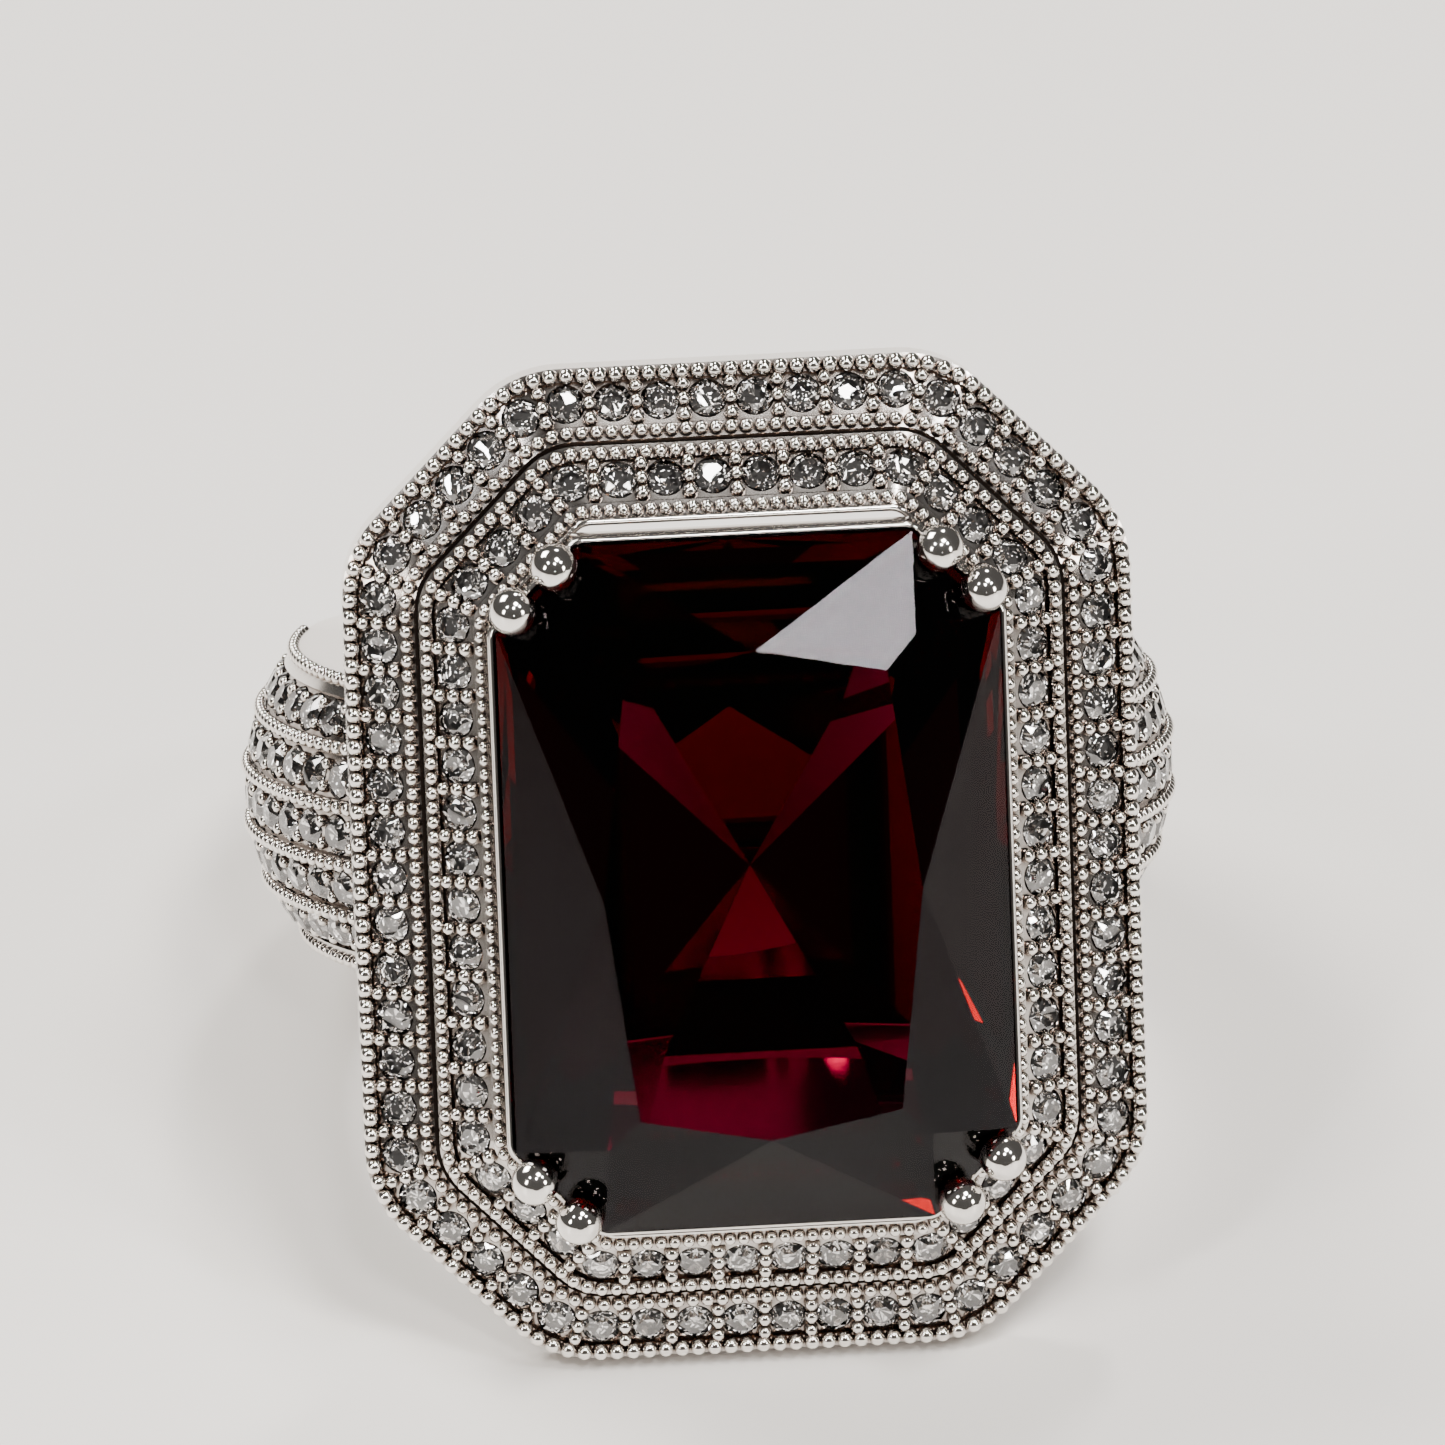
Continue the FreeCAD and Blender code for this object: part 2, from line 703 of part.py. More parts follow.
def build_ring():
    """All nodes of the ring in its local frame, as a dictionary of lists of solids."""
    nodes = {}
    nodes["shank"] = [shank()]

    halo_stone = small_stone(halo_stone_diameter)
    halo_seat = seat_tool(halo_stone_diameter, 2 * plate_thickness)
    outer_middle = outer_tier_width / 2
    outer_height = rim_top + outer_middle * outer_rise - channel_depth
    outer_places = halo_places(outer_middle, outer_height, outer_tier_slope)
    inner_middle = (inner_tier_start + opening_offset - lip_width) / 2
    inner_height = inner_tier_base + (inner_middle - inner_tier_start) * inner_rise - channel_depth
    inner_places = halo_places(inner_middle, inner_height, inner_tier_slope)
    outer_frame = ring_from_profile(outer_halo_profile(), halo_loop)
    inner_frame = ring_from_profile(inner_halo_profile(), halo_loop)
    nodes["gallery_rail"] = [gallery_rail()]
    nodes["gallery_posts"] = gallery_posts(outer_frame.fuse(inner_frame))
    nodes["outer_halo_frame"] = [outer_frame.cut(set_at(halo_seat, outer_places))]
    nodes["outer_halo_stones"] = set_at(halo_stone, outer_places)
    claws_room = [claw(right, up, side, claw_clearance) for right, up in QUARTERS for side in (-1, 1)]
    nodes["inner_halo_frame"] = [inner_frame.cut(claws_room).cut(set_at(halo_seat, inner_places))]
    nodes["inner_halo_stones"] = set_at(halo_stone, inner_places)

    shoulder_stone = small_stone(shoulder_stone_diameter)
    shoulder_seat = seat_tool(shoulder_stone_diameter, shoulder_drill_depth)
    rows = [shoulder_places(row) for row in row_angles()]
    seats = [tool for places in rows for tool in set_at(shoulder_seat, places)]
    shoulder = right_shoulder(seats)
    middle = Vector(0, 0, 0)
    nodes["right_shoulder"] = [shoulder]
    nodes["left_shoulder"] = [shoulder.mirror(middle, AXIS_X)]
    for number, places in enumerate(rows, 1):
        stones = set_at(shoulder_stone, places)
        nodes[f"right_shoulder_stones_row_{number}"] = stones
        nodes[f"left_shoulder_stones_row_{number}"] = [stone.mirror(middle, AXIS_X) for stone in stones]

    nodes["upper_finger_bar"] = [finger_bar(1)]
    nodes["lower_finger_bar"] = [finger_bar(-1)]

    stone_room = centre_stone(stone_clearance)
    nodes["centre_stone"] = [centre_stone()]
    nodes["seat_rail"] = [seat_rail(stone_room, claws_room)]
    nodes["basket_base_rail"] = [basket_base_rail()]
    names = ("upper_right_claws", "upper_left_claws", "lower_left_claws", "lower_right_claws")
    for name, (right, up) in zip(names, QUARTERS):
        nodes[name] = claw_pair(right, up, stone_room)
    return nodes


def lay_down(nodes):
    """Tilt the ring back on its rim and band, rest it on Z = 0 and centre its box on the Z axis.

    Returns the nodes and the place of the finger hole's centre.
    """
    tilt = Placement(Vector(0, 0, 0), Rotation(AXIS_X, 90 - resting_lean())).toMatrix()
    laid = {}
    box = FreeCAD.BoundBox()
    for name, solids in nodes.items():
        laid[name] = [solid.transformed(tilt, copy=True) for solid in solids]
        for solid in laid[name]:
            box.add(solid.optimalBoundingBox(False, False))
    centre = Vector(-box.Center.x, -box.Center.y, -box.ZMin)
    shift = Matrix()
    shift.move(centre)
    for name, solids in laid.items():
        laid[name] = [solid.transformed(shift, copy=True) for solid in solids]
    return laid, centre


def save(nodes):
    """Write each node to a STEP file of its own name."""
    for name, solids in nodes.items():
        shape = solids[0] if len(solids) == 1 else Part.makeCompound(solids)
        shape.exportStep(f"parts/{name}.step")
        valid = all(solid.isValid() for solid in solids)
        volume = sum(solid.Volume for solid in solids)
        print(f"{name}: {len(solids)} solids, {volume:.3f} mm3, valid {valid}")


ring, hole_centre = lay_down(build_ring())
save(ring)
lean = math.radians(resting_lean())
print(f"face leans back {resting_lean():.2f} degrees from upright")
print(f"finger hole centre {hole_centre.x:.4f} {hole_centre.y:.4f} {hole_centre.z:.4f}")
print(f"finger hole axis 0 {math.sin(lean):.6f} {math.cos(lean):.6f}")
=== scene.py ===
# %% [markdown]
# # A cocktail ring, dressed for its portrait
# The ring arrives as a imported model: band, gallery, two halo tiers, a claw basket and every stone, each at
# its real size. This lesson adds what a setter and a polisher would add last: the milgrain beads along the
# rails, the beads that hold the small stones, and the finishes of metal and stones.

# %% Load the ring and count its pieces
import json
import math

import bmesh
import bpy
from mathutils import Matrix, Vector


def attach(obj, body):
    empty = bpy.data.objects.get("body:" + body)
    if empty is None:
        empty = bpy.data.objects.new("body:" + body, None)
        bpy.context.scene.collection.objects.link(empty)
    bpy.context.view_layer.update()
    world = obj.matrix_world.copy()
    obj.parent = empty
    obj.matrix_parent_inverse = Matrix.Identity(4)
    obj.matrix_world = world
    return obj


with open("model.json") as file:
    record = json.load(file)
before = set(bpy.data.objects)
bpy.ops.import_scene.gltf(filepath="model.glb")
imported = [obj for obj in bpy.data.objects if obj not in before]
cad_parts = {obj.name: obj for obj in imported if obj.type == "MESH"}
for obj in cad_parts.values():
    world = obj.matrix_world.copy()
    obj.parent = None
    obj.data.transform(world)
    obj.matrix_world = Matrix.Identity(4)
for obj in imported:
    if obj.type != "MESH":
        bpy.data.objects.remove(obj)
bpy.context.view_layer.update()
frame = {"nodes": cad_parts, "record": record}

MM = 0.001
print("nodes:", len(frame["nodes"]))


# %% [markdown]
# ## The ring's own directions
# The ring lies tilted back, so the face of its stone looks neither straight up nor straight ahead. The
# finger hole tells where the ring's own axes are: local Y runs along the finger and local Z comes out of
# the face. Everything below is drawn in that local frame, in millimetres, and then laid in place.

# %% The ring's own frame, from the finger hole
finger_hole = next(m for m in frame["record"]["mounts"] if m["name"] == "finger_hole")
hole_centre = Vector(finger_hole["pos_m"])
finger_axis = Vector(finger_hole["axis"]).normalized()
across_axis = Vector((1.0, 0.0, 0.0))
face_axis = across_axis.cross(finger_axis)
turn = Matrix((across_axis, finger_axis, face_axis)).transposed().to_4x4()
ring_to_world = Matrix.Translation(hole_centre) @ turn @ Matrix.Scale(MM, 4)
print("face looks towards", tuple(round(v, 3) for v in face_axis))


# %% [markdown]
# ## Materials: metal
# Cast white metal with a rhodium finish is bright and slightly warm. Hand polish leaves hair-fine scratches
# and small changes of gloss, and the corners that a buff can't reach are darkened with painted shade.
# Two effects are shared by all the metal, so each is a shader node group that puts out only values.

# %% Shared shader effects
def new_group(name, inputs, outputs):
    """A shader node group with named float, vector or colour sockets and its two end nodes."""
    group = bpy.data.node_groups.new(name, "ShaderNodeTree")
    for label, kind, value in inputs:
        socket = group.interface.new_socket(label, in_out="INPUT", socket_type=kind)
        if value is not None:
            socket.default_value = value
    for label, kind in outputs:
        group.interface.new_socket(label, in_out="OUTPUT", socket_type=kind)
    return group, group.nodes.new("NodeGroupInput"), group.nodes.new("NodeGroupOutput")


def add(tree, kind, **settings):
    """Add a node and set its properties."""
    node = tree.nodes.new(kind)
    for key, value in settings.items():
        setattr(node, key, value)
    return node


def math_node(tree, operation, first, second, clamp=False):
    """A Math node fed by sockets or numbers."""
    node = add(tree, "ShaderNodeMath", operation=operation, use_clamp=clamp)
    for socket, value in zip(node.inputs, (first, second)):
        if isinstance(value, (int, float)):
            socket.default_value = value
        else:
            tree.links.new(value, socket)
    return node.outputs[0]


CLOUD_SCALE = 420.0
HAIR_SCALE = 9000.0
HAIR_STRETCH = (0.12, 1.0, 1.0)
HAIR_TURN = (0.3, 0.5, 0.7)


def make_polish_group():
    """Hair-fine scratches and cloudy gloss. Roughness and height, from the place on the piece."""
    group, start, end = new_group(
        "buffed polish",
        [("Vector", "NodeSocketVector", None), ("Roughness", "NodeSocketFloat", 0.1),
         ("Clouding", "NodeSocketFloat", 0.08), ("Scale", "NodeSocketFloat", 1.0)],
        [("Roughness", "NodeSocketFloat"), ("Height", "NodeSocketFloat")],
    )
    link = group.links.new
    scaled = add(group, "ShaderNodeVectorMath", operation="SCALE")
    link(start.outputs["Vector"], scaled.inputs[0])
    link(start.outputs["Scale"], scaled.inputs["Scale"])
    clouds = add(group, "ShaderNodeTexNoise")
    clouds.inputs["Scale"].default_value = CLOUD_SCALE
    clouds.inputs["Detail"].default_value = 3.0
    link(scaled.outputs[0], clouds.inputs["Vector"])
    stretch = add(group, "ShaderNodeMapping")
    stretch.inputs["Scale"].default_value = HAIR_STRETCH
    stretch.inputs["Rotation"].default_value = HAIR_TURN
    link(scaled.outputs[0], stretch.inputs["Vector"])
    hairs = add(group, "ShaderNodeTexNoise")
    hairs.inputs["Scale"].default_value = HAIR_SCALE
    hairs.inputs["Detail"].default_value = 2.0
    link(stretch.outputs[0], hairs.inputs["Vector"])
    centred = math_node(group, "SUBTRACT", clouds.outputs[0], 0.5)
    spread = math_node(group, "MULTIPLY", centred, start.outputs["Clouding"])
    rough = math_node(group, "ADD", spread, start.outputs["Roughness"], clamp=True)
    link(rough, end.inputs["Roughness"])
    link(hairs.outputs[0], end.inputs["Height"])
    return group


def make_recess_group():
    """A mask that is 1 on open metal and falls to 0 in narrow corners between beads and stones, where painted
    shade goes.
    """
    group, start, end = new_group(
        "shaded recesses",
        [("Distance", "NodeSocketFloat", 0.0004), ("Strength", "NodeSocketFloat", 1.0)],
        [("Open", "NodeSocketFloat")],
    )
    corner = add(group, "ShaderNodeAmbientOcclusion", samples=8)
    group.links.new(start.outputs["Distance"], corner.inputs["Distance"])
    opened = math_node(group, "POWER", corner.outputs["AO"], start.outputs["Strength"])
    group.links.new(opened, end.inputs["Open"])
    return group


polish_group = make_polish_group()
recess_group = make_recess_group()
print("shared effects:", polish_group.name, "and", recess_group.name)


# %% [markdown]
# The finish itself is a metal whose colour slides from painted shade in the corners to clean metal on open
# faces.
# Three versions differ in gloss and in how dark their corners are shaded: smooth pieces, pierced and set
# pieces, and the beads, whose colour is painted lighter than the rest to stand in for their highlights.

# %% White metal finishes
def new_material(name):
    """An empty node material with its output and a Principled shader."""
    material = bpy.data.materials.new(name)
    material.use_nodes = True
    material.node_tree.nodes.clear()
    output = add(material.node_tree, "ShaderNodeOutputMaterial")
    shader = add(material.node_tree, "ShaderNodeBsdfPrincipled")
    material.node_tree.links.new(shader.outputs[0], output.inputs["Surface"])
    return material, shader, output


SCRATCH_STRENGTH = 0.04
SCRATCH_DEPTH = 0.00001


def make_metal(name, colour, shade, roughness, clouding, recess_power):
    """Polished white metal with painted shade that darkens its recesses."""
    material, shader, _ = new_material(name)
    tree = material.node_tree
    place = add(tree, "ShaderNodeTexCoord")
    polish = add(tree, "ShaderNodeGroup", node_tree=polish_group)
    tree.links.new(place.outputs["Object"], polish.inputs["Vector"])
    polish.inputs["Roughness"].default_value = roughness
    polish.inputs["Clouding"].default_value = clouding
    recess = add(tree, "ShaderNodeGroup", node_tree=recess_group)
    recess.inputs["Strength"].default_value = recess_power
    # Painted shade: where the recess mask falls, the colour darkens from clean metal towards the shade colour.
    tint = add(tree, "ShaderNodeMix", data_type="RGBA")
    tint.inputs["A"].default_value = (*shade, 1.0)
    tint.inputs["B"].default_value = (*colour, 1.0)
    tree.links.new(recess.outputs["Open"], tint.inputs["Factor"])
    tree.links.new(tint.outputs["Result"], shader.inputs["Base Color"])
    tree.links.new(polish.outputs["Roughness"], shader.inputs["Roughness"])
    bump = add(tree, "ShaderNodeBump")
    bump.inputs["Strength"].default_value = SCRATCH_STRENGTH
    bump.inputs["Distance"].default_value = SCRATCH_DEPTH
    tree.links.new(polish.outputs["Height"], bump.inputs["Height"])
    tree.links.new(bump.outputs[0], shader.inputs["Normal"])
    shader.inputs["Metallic"].default_value = 1.0
    return material


WHITE_METAL = (0.86, 0.83, 0.79)
# Painted light: the beads are the same white metal, given a lighter colour that stands in for their
# highlights.
BEAD_METAL_PAINTED_LIGHTER = (0.92, 0.88, 0.83)
# Painted shade: the dark brown colour that the metal takes in narrow recesses, standing in for the shade
# there.
RECESS_PAINTED_SHADE = (0.11, 0.07, 0.048)
polished_metal = make_metal(
    "polished white metal", WHITE_METAL, RECESS_PAINTED_SHADE, roughness=0.09, clouding=0.10, recess_power=1.0)
set_metal = make_metal(
    "pave set metal", WHITE_METAL, RECESS_PAINTED_SHADE, roughness=0.14, clouding=0.12, recess_power=2.2)
bead_metal = make_metal(
    "bead metal painted lighter", BEAD_METAL_PAINTED_LIGHTER, RECESS_PAINTED_SHADE, roughness=0.06, clouding=0.05, recess_power=1.5)
print("metals:", polished_metal.name, set_metal.name, bead_metal.name)


# %% [markdown]
# ## Materials: stones
# The centre stone is a deep red transparent stone. Most of its colour sits in the body: the surface is
# tinted glass with a high refractive index, and a volume absorbs green and blue. Over a pale floor its
# mirror reflections would veil that depth, so they are turned down to DARK_GLANCE, which a real
# stone can't do. The small stones are clear, nearly colourless and keep their full reflections.

# %% Stone finishes
def make_stone(name, index, glance, clear, zoned, zone_size):
    """A transparent stone whose tint drifts a little through its body."""
    material, shader, output = new_material(name)
    tree = material.node_tree
    shader.inputs["Roughness"].default_value = 0.0
    shader.inputs["IOR"].default_value = index
    shader.inputs["Specular Tint"].default_value = (*glance, 1.0)
    shader.inputs["Transmission Weight"].default_value = 1.0
    place = add(tree, "ShaderNodeTexCoord")
    zones = add(tree, "ShaderNodeTexNoise")
    zones.inputs["Scale"].default_value = 1.0 / zone_size
    zones.inputs["Detail"].default_value = 2.0
    tree.links.new(place.outputs["Object"], zones.inputs["Vector"])
    tint = add(tree, "ShaderNodeMix", data_type="RGBA")
    tint.inputs["A"].default_value = (*clear, 1.0)
    tint.inputs["B"].default_value = (*zoned, 1.0)
    tree.links.new(zones.outputs[0], tint.inputs["Factor"])
    tree.links.new(tint.outputs["Result"], shader.inputs["Base Color"])
    return material, output


def add_body_colour(material, output, passed, density):
    """Absorption inside the stone: the colour that it lets through, and how strongly."""
    body = add(material.node_tree, "ShaderNodeVolumeAbsorption")
    body.inputs["Color"].default_value = (*passed, 1.0)
    body.inputs["Density"].default_value = density
    material.node_tree.links.new(body.outputs[0], output.inputs["Volume"])


DARK_GLANCE = (0.115, 0.112, 0.12)
FULL_GLANCE = (1.0, 1.0, 1.0)
RED_INDEX = 1.76
RED_TINTS = ((1.0, 0.62, 0.70), (0.95, 0.40, 0.52))
RED_ZONE_SIZE = 0.003
RED_PASSED = (0.84, 0.05, 0.60)
RED_DENSITY = 1300.0
CLEAR_INDEX = 2.4
CLEAR_TINTS = ((1.0, 1.0, 1.0), (0.97, 0.94, 0.91))
CLEAR_ZONE_SIZE = 0.0013
red_stone, red_output = make_stone("deep red stone", RED_INDEX, DARK_GLANCE, *RED_TINTS, RED_ZONE_SIZE)
add_body_colour(red_stone, red_output, RED_PASSED, RED_DENSITY)
clear_stone, clear_output = make_stone(
    "clear small stone", CLEAR_INDEX, FULL_GLANCE, *CLEAR_TINTS, CLEAR_ZONE_SIZE)
print("stones:", red_stone.name, clear_stone.name)


# %% [markdown]
# Small stones never sit quite level, so each one flashes in its own way, and a bump tips their facets. The
# large stone is to look as it does in dark surroundings although it lies on a pale floor. So its surface
# below the girdle is tinted nearly black, which keeps the floor from shining through. That is a choice of
# looks and not a property of the stone.

# %% Tipped small stones and the shaded back of the large one
TIP_SIZE = 0.0011
TIP_DEPTH = 0.0002
GIRDLE_MIDDLE = 16.04
BACK_SHARE = (0.045, 0.015, 0.03)


def tip_facets(material, output, size, depth):
    """Small stones sit a little unevenly, so their facets tip this way and that from stone to stone."""
    tree = material.node_tree
    place = add(tree, "ShaderNodeTexCoord")
    drift = add(tree, "ShaderNodeTexNoise")
    drift.inputs["Scale"].default_value = 1.0 / size
    drift.inputs["Detail"].default_value = 0.0
    tree.links.new(place.outputs["Object"], drift.inputs["Vector"])
    bump = add(tree, "ShaderNodeBump")
    bump.inputs["Strength"].default_value = 1.0
    bump.inputs["Distance"].default_value = depth
    tree.links.new(drift.outputs[0], bump.inputs["Height"])
    shader = output.inputs["Surface"].links[0].from_node
    tree.links.new(bump.outputs[0], shader.inputs["Normal"])


def shade_below(material, output, height, share):
    """Tint the surface below a height, so that less light comes in there than above it."""
    tree = material.node_tree
    shader = output.inputs["Surface"].links[0].from_node
    body_tint = shader.inputs["Base Color"].links[0].from_socket
    place = add(tree, "ShaderNodeTexCoord")
    rise = add(tree, "ShaderNodeVectorMath", operation="DOT_PRODUCT")
    rise.inputs[1].default_value = face_axis
    tree.links.new(place.outputs["Object"], rise.inputs[0])
    above = math_node(tree, "GREATER_THAN", rise.outputs["Value"], hole_centre.dot(face_axis) + height * MM)
    shaded = add(tree, "ShaderNodeMix", data_type="RGBA", blend_type="MULTIPLY")
    shaded.inputs["Factor"].default_value = 1.0
    shaded.inputs["B"].default_value = (*share, 1.0)
    tree.links.new(body_tint, shaded.inputs["A"])
    choice = add(tree, "ShaderNodeMix", data_type="RGBA")
    tree.links.new(above, choice.inputs["Factor"])
    tree.links.new(shaded.outputs["Result"], choice.inputs["A"])
    tree.links.new(body_tint, choice.inputs["B"])
    tree.links.new(choice.outputs["Result"], shader.inputs["Base Color"])


tip_facets(clear_stone, clear_output, TIP_SIZE, TIP_DEPTH)
shade_below(red_stone, red_output, GIRDLE_MIDDLE, BACK_SHARE)
print("tipped:", clear_stone.name, "and shaded:", red_stone.name)


# %% [markdown]
# ## Dress the imported pieces
# The imported solids already have the right shape, so they keep it and only get a finish.

# %% Finishes on the imported pieces
def finish_for(node):
    """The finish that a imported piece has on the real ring."""
    if node == "centre_stone":
        return red_stone
    if "stones" in node:
        return clear_stone
    if "halo_frame" in node or node.endswith("_shoulder"):
        return set_metal
    return polished_metal


for name, node in frame["nodes"].items():
    node.data.materials.clear()
    node.data.materials.append(finish_for(name))
print("dressed", len(frame["nodes"]), "packed pieces")


# %% [markdown]
# ## Milgrain
# Milgrain is a line of tiny beads rolled along a rail. It repeats along a path, which is what Geometry
# Nodes are for: the path is resampled at the bead pitch and a small ball is placed on every point. The
# setter's beads between the stones are the same ball on points that are already known.

# %% Node trees for beads
BALL_SEGMENTS = 10
BALL_RINGS = 6


def new_bead_tree(name, along_path):
    """A tree that puts balls on points, or along a path at an even pitch, and ends in a plain mesh."""
    tree = bpy.data.node_groups.new(name, "GeometryNodeTree")
    tree.interface.new_socket("Guide", in_out="INPUT", socket_type="NodeSocketGeometry")
    tree.interface.new_socket("Bead Radius", in_out="INPUT", socket_type="NodeSocketFloat")
    if along_path:
        tree.interface.new_socket("Pitch", in_out="INPUT", socket_type="NodeSocketFloat")
    tree.interface.new_socket("Finish", in_out="INPUT", socket_type="NodeSocketMaterial")
    tree.interface.new_socket("Beads", in_out="OUTPUT", socket_type="NodeSocketGeometry")
    start = add(tree, "NodeGroupInput")
    end = add(tree, "NodeGroupOutput")
    link = tree.links.new
    points = start.outputs["Guide"]
    if along_path:
        path = add(tree, "GeometryNodeMeshToCurve")
        even = add(tree, "GeometryNodeResampleCurve", mode="LENGTH")
        link(points, path.inputs[0])
        link(path.outputs[0], even.inputs["Curve"])
        link(start.outputs["Pitch"], even.inputs["Length"])
        points = even.outputs[0]
    ball = add(tree, "GeometryNodeMeshUVSphere")
    ball.inputs["Segments"].default_value = BALL_SEGMENTS
    ball.inputs["Rings"].default_value = BALL_RINGS
    link(start.outputs["Bead Radius"], ball.inputs["Radius"])
    place = add(tree, "GeometryNodeInstanceOnPoints")
    link(points, place.inputs["Points"])
    link(ball.outputs["Mesh"], place.inputs["Instance"])
    real = add(tree, "GeometryNodeRealizeInstances")
    smooth = add(tree, "GeometryNodeSetShadeSmooth")
    finish = add(tree, "GeometryNodeSetMaterial")
    link(place.outputs[0], real.inputs[0])
    link(real.outputs[0], smooth.inputs[0])
    link(smooth.outputs[0], finish.inputs["Geometry"])
    link(start.outputs["Finish"], finish.inputs["Material"])
    link(finish.outputs[0], end.inputs["Beads"])
    return tree


milgrain_tree = new_bead_tree("milgrain line", True)
setting_bead_tree = new_bead_tree("setting beads", False)


def grow_beads(name, tree, points, edges, radius, pitch=0.0):
    """Run a bead tree on guide points given in the ring's frame, and keep the result as a plain piece."""
    guide_mesh = bpy.data.meshes.new(name + "_guide")
    guide_mesh.from_pydata([ring_to_world @ Vector(p) for p in points], edges, [])
    guide = bpy.data.objects.new(name + "_guide", guide_mesh)
    bpy.context.scene.collection.objects.link(guide)
    modifier = guide.modifiers.new("beads", "NODES")
    modifier.node_group = tree
    values = {"Bead Radius": radius * MM, "Pitch": pitch * MM, "Finish": bead_metal}
    for item in tree.interface.items_tree:
        if item.name in values:
            modifier[item.identifier] = values[item.name]
    evaluated = guide.evaluated_get(bpy.context.evaluated_depsgraph_get())
    mesh = bpy.data.meshes.new_from_object(evaluated)
    mesh.name = name
    piece = bpy.data.objects.new(name, mesh)
    bpy.context.scene.collection.objects.link(piece)
    bpy.data.objects.remove(guide)
    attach(piece, "root")
    print(name, "faces:", len(mesh.polygons))


# %% [markdown]
# ## The halo's rails
# Both halo tiers follow one outline, a rectangle with cut corners, moved inwards. The same rule draws the
# guide of every milgrain line.

# %% The halo's outline
HALO_WIDTH = 20.5
HALO_LENGTH = 26.2
CORNER_CUT = 4.6
RIM_CORNER_RADIUS = 3.0
OPENING_CORNER_RADIUS = 0.5
OUTER_TIER_WIDTH = 1.8
INNER_TIER_WIDTH = 2.0
OUTER_SLOPE_DEGREES = 24.0
INNER_SLOPE_DEGREES = 33.0
OUTER_SLOPE = math.tan(math.radians(OUTER_SLOPE_DEGREES))
INNER_SLOPE = math.tan(math.radians(INNER_SLOPE_DEGREES))
LIP_WIDTH = 0.2
TIER_GROOVE = 0.1
TIER_STEP = 0.15
RIM_TOP = 12.7
OPENING_OFFSET = OUTER_TIER_WIDTH + INNER_TIER_WIDTH
INNER_START = OUTER_TIER_WIDTH + TIER_GROOVE
INNER_BASE = RIM_TOP + OUTER_TIER_WIDTH * OUTER_SLOPE + TIER_STEP
ARC_STEPS = 8


def halo_height(offset):
    """Height of the halo's top at an offset from its rim."""
    if offset <= OUTER_TIER_WIDTH:
        return RIM_TOP + offset * OUTER_SLOPE
    return INNER_BASE + (offset - INNER_START) * INNER_SLOPE


def cut_corner_outline(half_x, half_y, cut, radius, height):
    """Points round a rectangle with cut corners, each of its eight bends rounded."""
    corners = []
    for quarter in range(4):
        right = 1 if quarter in (0, 3) else -1
        up = 1 if quarter in (0, 1) else -1
        pair = [(right * half_x, up * (half_y - cut)), (right * (half_x - cut), up * half_y)]
        corners += pair if quarter % 2 == 0 else pair[::-1]
    points = []
    for index, corner in enumerate(corners):
        here = Vector((*corner, height))
        back = (Vector((*corners[index - 1], height)) - here).normalized()
        ahead = (Vector((*corners[(index + 1) % 8], height)) - here).normalized()
        inward = (back + ahead).normalized()
        centre = here + inward * (radius / math.cos(math.pi / 8))
        first = here + back * radius * math.tan(math.pi / 8) - centre
        for step in range(ARC_STEPS + 1):
            turned = Matrix.Rotation(math.radians(45) * step / ARC_STEPS, 3, "Z") @ first
            points.append(centre + turned)
    return points


def halo_guide(offset, lift=0.0):
    """Points and edges of the halo's outline at an offset from its rim, a little above the halo's top."""
    share = offset / OPENING_OFFSET
    radius = RIM_CORNER_RADIUS + (OPENING_CORNER_RADIUS - RIM_CORNER_RADIUS) * share
    half_x = HALO_WIDTH / 2 - offset
    half_y = HALO_LENGTH / 2 - offset
    cut = CORNER_CUT - offset * (2 - math.sqrt(2))
    points = cut_corner_outline(half_x, half_y, cut, radius, halo_height(offset) + lift)
    edges = [(i, (i + 1) % len(points)) for i in range(len(points))]
    return points, edges


# %% [markdown]
# Four lines of milgrain go round the halo: one on the rim, one on each side of the groove between the tiers,
# and one at the opening. Each has its offset from the rim, its bead radius and its pitch.

# %% Milgrain on the halo
MILGRAIN = {
    "rim_milgrain": (0.18, 0.22, 0.43),
    "outer_tier_milgrain": (1.59, 0.19, 0.39),
    "inner_tier_milgrain": (2.08, 0.19, 0.39),
    "opening_milgrain": (3.43, 0.17, 0.36),
}
MILGRAIN_LIFT = 0.3
for name, (offset, radius, pitch) in MILGRAIN.items():
    points, edges = halo_guide(offset, MILGRAIN_LIFT * radius)
    grow_beads(name, milgrain_tree, points, edges, radius, pitch)


# %% [markdown]
# ## Polished edges
# The halo's inner lip and the rail under the centre stone are buffed until their edges are round. A round
# wire laid on each edge gives the narrow highlight that a sharp edge wouldn't.

# %% Buffed lip and seat rail
LIP_RADIUS = 0.1
SEAT_EDGE_RADIUS = 0.09
STONE_WIDTH = 13.0
STONE_LENGTH = 18.0
STONE_CORNER_CUT = 2.2
LIP_HEIGHT = INNER_BASE + (OPENING_OFFSET - LIP_WIDTH - INNER_START) * INNER_SLOPE
GIRDLE_RISE = 1.0
GIRDLE_BOTTOM = INNER_BASE + (OPENING_OFFSET - INNER_START) * INNER_SLOPE + GIRDLE_RISE
SEAT_DROP = 0.1


